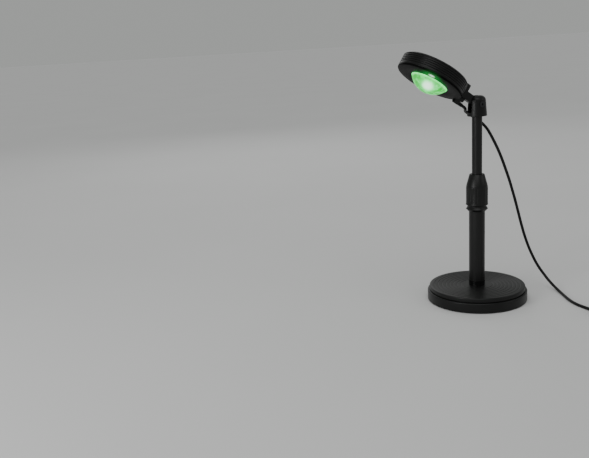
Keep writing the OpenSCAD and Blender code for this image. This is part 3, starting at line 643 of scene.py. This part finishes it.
# %% Lock nut
nut_low, nut_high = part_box("lock_nut")
nut_z = nut_low.z / MM
nut_top = nut_high.z / MM
NUT_R_MM = 12.9
NUT_LIP_MM = 0.35
LIP_FOOT_MM, LIP_TOP_MM, LIP_END_MM = 0.6, 0.9, 2.2
NUT_TOP_R_MM = 8.9
NUT_CHAMFER_MM = 0.3
NUT_BORE_MM = 10.98
NUT_BORE_DEPTH_MM = 15.95
CONE_FOOT_R_MM, CONE_TOP_R_MM = 9.1, 7.7
TUBE_HOLE_R_MM, TUBE_HOLE_DEPTH_MM = 6.35, 4.6
FLUTES = 20
FLUTE_DEPTH_MM = 0.28
COLUMNS_PER_FLUTE = 10
TAPER_DEGREES = 15
TAPER = math.radians(TAPER_DEGREES)
SHOULDER_R_MM = 18
FLUTE_START_MM = 3.0
FLUTE_PAST_SHOULDER_MM = 1.5
taper_drop = SHOULDER_R_MM * (1 - math.cos(TAPER))
shoulder_z = nut_top - (NUT_R_MM - taper_drop - NUT_TOP_R_MM) / math.tan(TAPER)
shoulder_z -= SHOULDER_R_MM * math.sin(TAPER)
shoulder_centre = (NUT_R_MM - SHOULDER_R_MM, shoulder_z)
flute_ends = (nut_z + FLUTE_START_MM, shoulder_z + FLUTE_PAST_SHOULDER_MM)
lip_r = NUT_R_MM + NUT_LIP_MM
bore_top = nut_z + NUT_BORE_DEPTH_MM
hole_foot = nut_top - TUBE_HOLE_DEPTH_MM
outline = [(NUT_BORE_MM, nut_z), (NUT_R_MM - 0.1, nut_z), (lip_r, nut_z + LIP_FOOT_MM)]
outline += [(lip_r, nut_z + LIP_TOP_MM), (NUT_R_MM, nut_z + LIP_END_MM)]
outline += [(NUT_R_MM, flute_ends[0]), (NUT_R_MM, flute_ends[0] + 0.5)]
outline += [(NUT_R_MM, shoulder_z - 0.3)]
outline += arc(shoulder_centre, SHOULDER_R_MM, 0, TAPER_DEGREES, 8)
outline += [(NUT_TOP_R_MM, nut_top - NUT_CHAMFER_MM), (NUT_TOP_R_MM - NUT_CHAMFER_MM, nut_top)]
outline += [(TUBE_HOLE_R_MM, nut_top), (TUBE_HOLE_R_MM, hole_foot), (CONE_TOP_R_MM, hole_foot)]
outline += [(CONE_FOOT_R_MM, bore_top), (NUT_BORE_MM, bore_top), (NUT_BORE_MM, nut_z)]
fluted_nut = turned("fluted_nut", outline, steps=FLUTES * COLUMNS_PER_FLUTE)
flute_angle = 2 * math.pi / FLUTES


def draw_flute(offset, share):
    """Draws in the columns that lie that many columns beside each flute's middle."""
    edit(fluted_nut)
    bpy.ops.object.mode_set(mode="OBJECT")
    low, high = (z * MM for z in (flute_ends[0] + 0.4, flute_ends[1]))
    column_angle = offset * flute_angle / COLUMNS_PER_FLUTE
    for vertex in fluted_nut.data.vertices:
        x, y, z = vertex.co
        turns = (math.atan2(y, x) - column_angle) / flute_angle
        outside = math.hypot(x, y) > (NUT_R_MM - 0.4) * MM
        vertex.select = outside and low < z < high and abs(turns - round(turns)) < 0.02
    bpy.ops.object.mode_set(mode="EDIT")
    inwards = 1 - share * FLUTE_DEPTH_MM / NUT_R_MM
    bpy.ops.transform.resize(value=(inwards, inwards, 1), center_override=(0, 0, 0))
    bpy.ops.object.mode_set(mode="OBJECT")


draw_flute(0, 1.0)
for side in (-1, 1):
    draw_flute(side, 0.8)
    draw_flute(2 * side, 0.3)
finished(fluted_nut, "lock_nut", "black_plastic", ["lock_nut"], smooth=30)

# %% [markdown]
# ## The head
# The housing is a shallow turned cup with five grooves round its rim, which show as a row of
# notches in the head's outline. It is made upright, on the Z axis, and set in the head's frame
# by `finished`. The face round the lens is a second turned piece.

# %% Head housing and face
HEAD_R_MM = 40
BACK_CHAMFER_MM = 1.6
FRONT_CHAMFER_MM = 1.0
FACE_MM = 2.0
CAVITY_R_MM = 36
BACK_WALL_MM = 4
COVER_R_MM = 32.1
COVER_DEPTH_MM = 1.5
RIM_GROOVES = 5
FIRST_GROOVE_MM = 1.2
GROOVE_SLOPE_MM = 0.12
GROOVE_PITCH_MM = 2.3
GROOVE_HALF_MM = 0.55
GROOVE_DEPTH_MM = 0.8
back = HEAD_THICKNESS_MM
cavity_back = back - BACK_WALL_MM
cover_seat = back - COVER_DEPTH_MM
last_groove = back - BACK_CHAMFER_MM - FIRST_GROOVE_MM
floor_r = HEAD_R_MM - GROOVE_DEPTH_MM
outline = [(0, cavity_back), (CAVITY_R_MM, cavity_back)]
outline += [(CAVITY_R_MM, FACE_MM), (HEAD_R_MM, FACE_MM)]
for i in reversed(range(RIM_GROOVES)):
    low = last_groove - i * GROOVE_PITCH_MM - GROOVE_HALF_MM
    high = last_groove - i * GROOVE_PITCH_MM + GROOVE_HALF_MM
    outline += [(HEAD_R_MM, low), (floor_r, low + GROOVE_SLOPE_MM)]
    outline += [(floor_r, high - GROOVE_SLOPE_MM), (HEAD_R_MM, high)]
outline += [(HEAD_R_MM, back - BACK_CHAMFER_MM), (HEAD_R_MM - BACK_CHAMFER_MM, back)]
outline += [(COVER_R_MM, back), (COVER_R_MM, cover_seat), (0, cover_seat)]
head_shell = bevel_edges(turned("head_shell", outline, steps=180), 0.15)
finished(head_shell, "head", "black_aluminium", ["head_housing"], head_frame)

LENS_R_MM = 22
LENS_GAP_MM = 0.25
HOLE_CHAMFER_MM = 0.25
SEAT_GAP_MM = 0.05
SPIGOT_TOP_MM = 5
SPIGOT_IN_MM = 1.5
hole_r = LENS_R_MM + LENS_GAP_MM
spigot_r = CAVITY_R_MM - SEAT_GAP_MM
spigot_inner_r = CAVITY_R_MM - SPIGOT_IN_MM
face_back = FACE_MM - SEAT_GAP_MM
outline = [(hole_r, HOLE_CHAMFER_MM), (hole_r + HOLE_CHAMFER_MM, 0)]
outline += [(HEAD_R_MM - FRONT_CHAMFER_MM, 0), (HEAD_R_MM, FRONT_CHAMFER_MM)]
outline += [(HEAD_R_MM, face_back), (spigot_r, face_back), (spigot_r, SPIGOT_TOP_MM)]
outline += [(spigot_inner_r, SPIGOT_TOP_MM), (spigot_inner_r, face_back)]
outline += [(hole_r, face_back), (hole_r, HOLE_CHAMFER_MM)]
face_ring = bevel_edges(turned("face_ring", outline, steps=180), 0.12)
finished(face_ring, "head", "black_aluminium", ["front_bezel"], head_frame, finish=face_finish)

# %% [markdown]
# ## The lens
# The dome is part of a ball. Its height and width give the ball's radius, and a fine arc makes
# it smooth, because glass shows every facet. Behind the face it widens into a flange.

# %% Lens dome
LENS_RISE_MM = 12.3
FLANGE_MM = 2
FLANGE_BACK_MM = 3.3
ball_r = (LENS_R_MM**2 + LENS_RISE_MM**2) / (2 * LENS_RISE_MM)
dome_end = math.degrees(math.asin(LENS_R_MM / ball_r))
outline = arc((0, ball_r - LENS_RISE_MM), ball_r, -90, dome_end - 90, 28)
outline[0] = (0, -LENS_RISE_MM)
outline += [(LENS_R_MM, FACE_MM), (LENS_R_MM + FLANGE_MM, FACE_MM)]
outline += [(LENS_R_MM + FLANGE_MM, FLANGE_BACK_MM), (0, FLANGE_BACK_MM)]
lens_dome = turned("lens_dome", outline, steps=128)
finished(lens_dome, "head", "lens_glass", ["lens"], head_frame)

# %% [markdown]
# ## The strain relief
# Where the cable leaves the bracket, a small rubber sleeve keeps it from kinking. It tapers, and
# three grooves round it let it bend. Its foot is a stub that sits in the bracket. It is turned
# upright like the other round pieces, and then laid along the arm.

# %% Strain relief
BRACKET_FACE_MM = 24.5
EXIT_ABOVE_FACE_MM = 0.2
CABLE_EXIT_MM = face_z + EXIT_ABOVE_FACE_MM
SLEEVE_MM = 6.5
SLEEVE_FOOT_R_MM = 2.3
SLEEVE_TIP_R_MM = 2.1
SLEEVE_CORE_R_MM = 1.8
SLEEVE_GROOVES_MM = (1.5, 3.1, 4.7)
STUB_R_MM = 1.85
STUB_MM = 1.95
sleeve_frame = (
    arm_frame
    @ Matrix.Translation(millimetres(BRACKET_FACE_MM, 0, CABLE_EXIT_MM))
    @ Matrix.Rotation(math.radians(-90), 4, "Y")
)
outline = [(0, -STUB_MM), (STUB_R_MM, -STUB_MM), (STUB_R_MM, 0), (SLEEVE_FOOT_R_MM, 0)]
for z in SLEEVE_GROOVES_MM:
    r = SLEEVE_FOOT_R_MM + (SLEEVE_TIP_R_MM - SLEEVE_FOOT_R_MM) * z / SLEEVE_MM
    outline += [(r, z), (SLEEVE_CORE_R_MM, z + 0.05)]
    outline += [(SLEEVE_CORE_R_MM, z + 0.65), (r - 0.02, z + 0.7)]
outline += [(SLEEVE_TIP_R_MM, SLEEVE_MM - 0.25), (SLEEVE_TIP_R_MM - 0.2, SLEEVE_MM)]
outline += [(0, SLEEVE_MM)]
strain_relief = turned("strain_relief", outline, steps=40)
finished(strain_relief, "head", "cable_jacket", ["cable_grommet"], sleeve_frame)

# %% [markdown]
# ## The gusset under the arm
# The arm meets the bracket's lower tongue at a right angle, and a casting has a rib there that
# makes the corner stiff. A cube is pulled into a wedge by its lower corner, and its edges are
# rounded.

# %% Gusset
GUSSET_START_MM = 18.4
GUSSET_WIDTH_MM = 4.4
GUSSET_LOW_MM = -9.8
GUSSET_SLANT_MM = (1.3, 0, 0.4)
ARM_LOW_MM = -4.6
SUNK_MM = 0.3
nothing_selected()
bpy.ops.mesh.primitive_cube_add(size=1)
arm_gusset = bpy.context.active_object
arm_gusset.name = "arm_gusset"
bpy.ops.object.mode_set(mode="EDIT")
length = BRACKET_FACE_MM + SUNK_MM - GUSSET_START_MM
height = ARM_LOW_MM + SUNK_MM - GUSSET_LOW_MM
bpy.ops.transform.resize(value=millimetres(length, GUSSET_WIDTH_MM, height))
middle = (GUSSET_START_MM + length / 2, 0, GUSSET_LOW_MM + height / 2)
bpy.ops.transform.translate(value=millimetres(*middle))
edit(arm_gusset)
bpy.ops.object.mode_set(mode="OBJECT")
for vertex in arm_gusset.data.vertices:
    vertex.select = vertex.co.x < middle[0] * MM and vertex.co.z < middle[2] * MM
bpy.ops.object.mode_set(mode="EDIT")
bpy.ops.transform.translate(value=millimetres(*GUSSET_SLANT_MM))
bpy.ops.object.mode_set(mode="OBJECT")
bevel_edges(arm_gusset, 0.5, segments=3)
finished(arm_gusset, "head", "black_plastic", place=arm_frame)

# %% [markdown]
# ## The cable's line
# The cable leaves a strain relief on the head, passes beside the cap, hangs to the table and
# ends in a coil outside the picture. It is one smooth curve through listed points, and
# it is cut where the lamp's joints need it. The curve is made of cubic spans that go through
# every point, and its bends are even when the points are.

# %% Route of the free cable
CABLE_MM = 3.5
HEAD_RUN = [
    (-21.6, 0, 238.7), (-18, 0.5, 236.4), (-14.9, 2.7, 234.4), (-12.3, 6.1, 232.7),
    (-9.4, 10.2, 231), (-4.6, 13.6, 228.4), (1.4, 14.9, 225), (7.6, 13.4, 220.8),
    (12.6, 9.8, 216), (16.6, 6, 210.4),
]
MAST_RUN = [
    (19.9, 3.7, 204.5), (22.9, 2.1, 198.2), (26.1, 0.8, 191.4), (29.2, -0.4, 184.5),
    (32.1, -1.5, 177.4), (34.9, -2.5, 170), (37.5, -3.4, 162.5), (40.1, -4.3, 154.8),
    (42.7, -5.2, 147),
]
DROP_RUN = [
    (45.4, -6, 138.2), (48.1, -6.7, 129), (50.7, -7.4, 120), (53.2, -7.9, 111),
    (55.8, -8.2, 102), (58.5, -8.3, 93), (61.5, -8.2, 84), (64.9, -7.8, 75), (68.7, -7.1, 66.5),
    (72.9, -6.3, 58), (77.4, -5.7, 49.5), (82.1, -5.5, 41), (86.7, -6.2, 32.5), (91, -8.2, 24.5),
    (94.8, -12, 17), (97.3, -17.3, 10.5), (98.1, -24.2, 6), (97.1, -32.2, 3.3),
    (94.8, -40.6, 2), (91.5, -49, 1.75), (88, -57.5, 1.75), (84.5, -66, 1.75),
    (81.5, -75, 1.75), (79.5, -84, 1.75), (79, -93, 1.75), (79, -102, 1.9), (79, -112, 2.4),
    (79, -122, 2.4),
]
route = [millimetres(*point) for point in HEAD_RUN + MAST_RUN + DROP_RUN]
STEPS_PER_SPAN = 8


def through(points):
    """Points on the smooth curve through the given ones, STEPS_PER_SPAN to each span."""
    line = []
    for i in range(len(points) - 1):
        before, start, end, after = (
            points[max(0, min(len(points) - 1, k))] for k in (i - 1, i, i + 1, i + 2)
        )
        rise = end - before
        bend = 2 * before - 5 * start + 4 * end - after
        twist = 3 * start - before - 3 * end + after
        for step in range(STEPS_PER_SPAN):
            t = step / STEPS_PER_SPAN
            line.append(0.5 * (2 * start + rise * t + bend * t**2 + twist * t**3))
    return line + [points[-1]]


cable_line = through(route)
head_end = (len(HEAD_RUN) - 1) * STEPS_PER_SPAN
mast_end = head_end + len(MAST_RUN) * STEPS_PER_SPAN


def line_length(line):
    return sum((b - a).length for a, b in zip(line, line[1:]))


print("free cable in mm:", round(line_length(cable_line) / MM))

# %% [markdown]
# ## The coil's line
# The length that the picture doesn't show is wound into a neat coil of four layers. A layer
# spirals in and the next spirals out, a cable's width apart, and each layer is climbed in the
# half turn where the spiral reverses. After the last turn the tail runs down to the plug.

# %% Route of the coil and its tail
COIL_R_MM = 23
COIL_PITCH_MM = 4
COIL_LAYERS = 4
LAYER_TURNS = 2.15
COIL_TURNS = COIL_LAYERS * LAYER_TURNS
TAIL_TURNS = 0.54
TAIL_STEP_MM = COIL_PITCH_MM + 0.6
TAIL_STRAIGHT_MM = 10
PLUG_Z_MM = 4.3
CLIMB_TURNS = 0.5
STEP_OUT_SHARE = 0.4
FALL_START_SHARE = 0.04
COIL_POINTS = 48
COIL_BACK_MM = 10
entry = Vector(DROP_RUN[-1])
coil_centre = entry + Vector((COIL_R_MM, -COIL_BACK_MM, 0))


def smooth(t):
    t = min(1, max(0, t))
    return t * t * (3 - 2 * t)


def coil_radius(turns):
    layer = min(COIL_LAYERS - 1, int(turns / LAYER_TURNS))
    inward = COIL_PITCH_MM * (turns - layer * LAYER_TURNS)
    if layer % 2 == 0:
        return COIL_R_MM - inward
    return COIL_R_MM - COIL_PITCH_MM * LAYER_TURNS + inward


def coil_height(turns):
    starts = [k * LAYER_TURNS for k in range(1, COIL_LAYERS)]
    climbs = [smooth((turns - start + CLIMB_TURNS / 2) / CLIMB_TURNS) for start in starts]
    return entry.z + COIL_PITCH_MM * sum(climbs)


def coil_point(turns):
    """A point of the coil or of its tail, in millimetres."""
    angle = math.pi + 2 * math.pi * turns
    past = max(0, turns - COIL_TURNS) / TAIL_TURNS
    radius = coil_radius(min(turns, COIL_TURNS))
    height = coil_height(min(turns, COIL_TURNS))
    if past > 0:
        fallen = smooth((past - FALL_START_SHARE) / (1 - FALL_START_SHARE))
        radius += TAIL_STEP_MM * smooth(past / STEP_OUT_SHARE)
        height += (PLUG_Z_MM - height) * fallen
    flat = Vector((math.cos(angle), math.sin(angle), 0)) * radius
    return Vector((coil_centre.x, coil_centre.y, height)) + flat


tail_angle = math.pi + 2 * math.pi * (COIL_TURNS + TAIL_TURNS)
tail_way = Vector((-math.sin(tail_angle), math.cos(tail_angle), 0))
turn_count = COIL_TURNS + TAIL_TURNS
coil_steps = round(turn_count * COIL_POINTS)
coil_line = [entry] + [coil_point(turn_count * i / coil_steps) for i in range(coil_steps + 1)]
tail_end = coil_line[-1] + TAIL_STRAIGHT_MM * tail_way
coil_line = [point * MM for point in coil_line + [tail_end]]
print("coil and tail in mm:", round(line_length(coil_line) / MM))

# %% [markdown]
# ## The cable itself
# A cable is a curve with a round bevel. Three stretches cross the lamp's joints and have to bend
# with them, so they are turned into meshes: the first from the head to the mast, the second from
# the mast to the sliding tube, the third from there to the table. The coil is the fourth, and
# stays with the base.

# %% Cable stretches
ROUNDNESS = 4


def cable(name, line):
    nothing_selected()
    curve = bpy.data.curves.new(name, "CURVE")
    curve.dimensions = "3D"
    curve.bevel_depth = CABLE_MM * MM / 2
    curve.bevel_resolution = ROUNDNESS
    curve.use_fill_caps = True
    spline = curve.splines.new("POLY")
    spline.points.add(len(line) - 1)
    for point, place in zip(spline.points, line):
        point.co = (*place, 1)
    piece = bpy.data.objects.new(name, curve)
    bpy.context.scene.collection.objects.link(piece)
    only(piece)
    bpy.ops.object.convert(target="MESH")
    return bpy.context.active_object


def declared(piece, line):
    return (piece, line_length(line))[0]


head_line = cable_line[: head_end + 1]
mast_line = cable_line[head_end : mast_end + 1]
drop_line = cable_line[mast_end:]

head_cable = cable("head_cable", head_line)
finished(head_cable, None, "cable_jacket", ["cable_at_head"])
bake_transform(head_cable)
declared(head_cable, head_line)

mast_cable = cable("mast_cable", mast_line)
finished(mast_cable, None, "cable_jacket", ["cable_at_mast"])
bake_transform(mast_cable)
declared(mast_cable, mast_line)

drop_cable = cable("drop_cable", drop_line)
finished(drop_cable, None, "cable_jacket", ["cable_drop"])
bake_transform(drop_cable)
declared(drop_cable, drop_line)

coiled_cable = cable("coiled_cable", coil_line)
finished(coiled_cable, "base", "cable_jacket", ["cable_coil"])

# %% [markdown]
# ## The coil's tie
# A strip of hook-and-loop tape holds the coil. It is a box whose long corners are rounded and
# whose ends are taken off, so that a wall is left, and the wall then gets its thickness. The
# strip's end lies on top of it as a second layer.

# %% Hook-and-loop tie
TIE_ANGLE = math.radians(305)
TIE_WIDTH_MM = 7
TIE_WALL_MM = 0.5
TIE_INNER_MM = (13.7, 15.9)
TIE_CORNER_MM = 1.4
TIE_EDGE_MM = 0.12
TIE_Z_MM = 8.5
FLAP_MM = 9
FLAP_CUT_MM = 3
tie_r = COIL_R_MM - COIL_PITCH_MM * LAYER_TURNS / 2
tie_frame = (
    Matrix.Translation(millimetres(coil_centre.x, coil_centre.y, 0))
    @ Matrix.Rotation(TIE_ANGLE, 4, "Z")
    @ Matrix.Translation(millimetres(tie_r, 0, TIE_Z_MM))
)


def tie_layer(name, size, middle_z, open_ways, cut_z=-100):
    """A rounded box without the faces that look along those ways or lie below the cut."""
    nothing_selected()
    bpy.ops.mesh.primitive_cube_add(size=1)
    layer = bpy.context.active_object
    layer.name = name
    bpy.ops.object.mode_set(mode="EDIT")
    bpy.ops.transform.resize(value=millimetres(*size))
    bpy.ops.transform.translate(value=millimetres(0, 0, middle_z))
    edit(layer, "EDGE")
    bpy.ops.object.mode_set(mode="OBJECT")
    points = layer.data.vertices
    for edge in layer.data.edges:
        a, b = (points[i].co for i in edge.vertices)
        edge.select = abs(a.y - b.y) > TIE_WIDTH_MM * MM / 2
    bpy.ops.object.mode_set(mode="EDIT")
    bpy.ops.mesh.bevel(offset=TIE_CORNER_MM * MM, segments=4)
    edit(layer, "FACE")
    bpy.ops.object.mode_set(mode="OBJECT")
    for face in layer.data.polygons:
        looks_out = any(face.normal.dot(Vector(way)) > 0.9 for way in open_ways)
        face.select = looks_out or face.center.z < cut_z * MM
    bpy.ops.object.mode_set(mode="EDIT")
    bpy.ops.mesh.delete(type="FACE")
    bpy.ops.object.mode_set(mode="OBJECT")
    modifier = layer.modifiers.new("wall", "SOLIDIFY")
    modifier.thickness = TIE_WALL_MM * MM
    modifier.offset = 1
    bpy.ops.object.modifier_apply(modifier=modifier.name)
    return bevel_edges(layer, TIE_EDGE_MM)


ends = [(0, 1, 0), (0, -1, 0)]
strap_size = (TIE_INNER_MM[0], TIE_WIDTH_MM, TIE_INNER_MM[1])
coil_strap = tie_layer("coil_strap", strap_size, 0, ends)
finished(coil_strap, "base", "cable_tie", ["coil_tie"], tie_frame)

flap_size = (TIE_INNER_MM[0] + 2 * TIE_WALL_MM, TIE_WIDTH_MM, FLAP_MM)
flap_z = TIE_INNER_MM[1] / 2 + TIE_WALL_MM - FLAP_MM / 2
flap_ways = [*ends, (0, 0, -1), (-1, 0, 0)]
strap_end = tie_layer("strap_end", flap_size, flap_z, flap_ways, flap_z - FLAP_CUT_MM)
finished(strap_end, "base", "cable_tie", place=tie_frame)
declared(coiled_cable, coil_line)

# %% [markdown]
# ## Floor and light
# The lamp is black, so its shape is told by reflections. Large soft lights give long, even
# ones: one from the left and front, a weaker one from the right, and one behind and above that
# draws a line along the edges. A wide sun lights the floor evenly, as far as it reaches, to the
# brightness of the surroundings, so that the floor has no visible end. It is pale and plain.

# %% Floor
FLOOR_M = 60.0
nothing_selected()
bpy.ops.mesh.primitive_plane_add(size=FLOOR_M)
floor = bpy.context.active_object
floor.name = "studio_floor"
paper = Finish("studio_paper", Roughness=0.9, Specular_IOR_Level=0.2)
paper.set("Base Color", paper.mix(paper.noise(3, 2), grey(0.62), grey(0.66)))
floor.data.materials.append(paper.material)

# %% Lights and surroundings
LAMP_MIDDLE_M = (0, 0, 0.13)
LAMP_FOOT_M = (0, 0, 0.05)
HIGH_LIGHT_STRENGTH = 0.90
HIGH_LIGHT_WIDTH = math.radians(50)
HIGH_LIGHT_TURN = (math.radians(28), math.radians(-22), 0)
SURROUNDINGS_STRENGTH = 0.46


def soft_light(name, place, size, watts, target=LAMP_MIDDLE_M):
    """A square light of that size in metres, turned to the lamp."""
    data = bpy.data.lights.new(name, "AREA")
    data.size = size
    data.energy = watts
    light = bpy.data.objects.new(name, data)
    bpy.context.scene.collection.objects.link(light)
    light.location = place
    aim = Vector(target) - Vector(place)
    light.rotation_euler = aim.to_track_quat("-Z", "Y").to_euler()


soft_light("left_softbox", (-1.2, -0.3, 0.45), size=0.5, watts=5, target=LAMP_FOOT_M)
soft_light("right_softbox", (1.2, -1.1, 1.0), size=0.8, watts=2)
soft_light("back_softbox", (0.3, 1.5, 1.1), size=1.0, watts=4)

sky_data = bpy.data.lights.new("high_light", "SUN")
sky_data.energy = HIGH_LIGHT_STRENGTH
sky_data.angle = HIGH_LIGHT_WIDTH
high_light = bpy.data.objects.new("high_light", sky_data)
bpy.context.scene.collection.objects.link(high_light)
high_light.rotation_euler = HIGH_LIGHT_TURN

world = bpy.data.worlds.new("studio")
bpy.context.scene.world = world
world.use_nodes = True
surroundings = world.node_tree.nodes["Background"]
surroundings.inputs["Color"].default_value = (0.80, 0.82, 0.80, 1)
surroundings.inputs["Strength"].default_value = SURROUNDINGS_STRENGTH
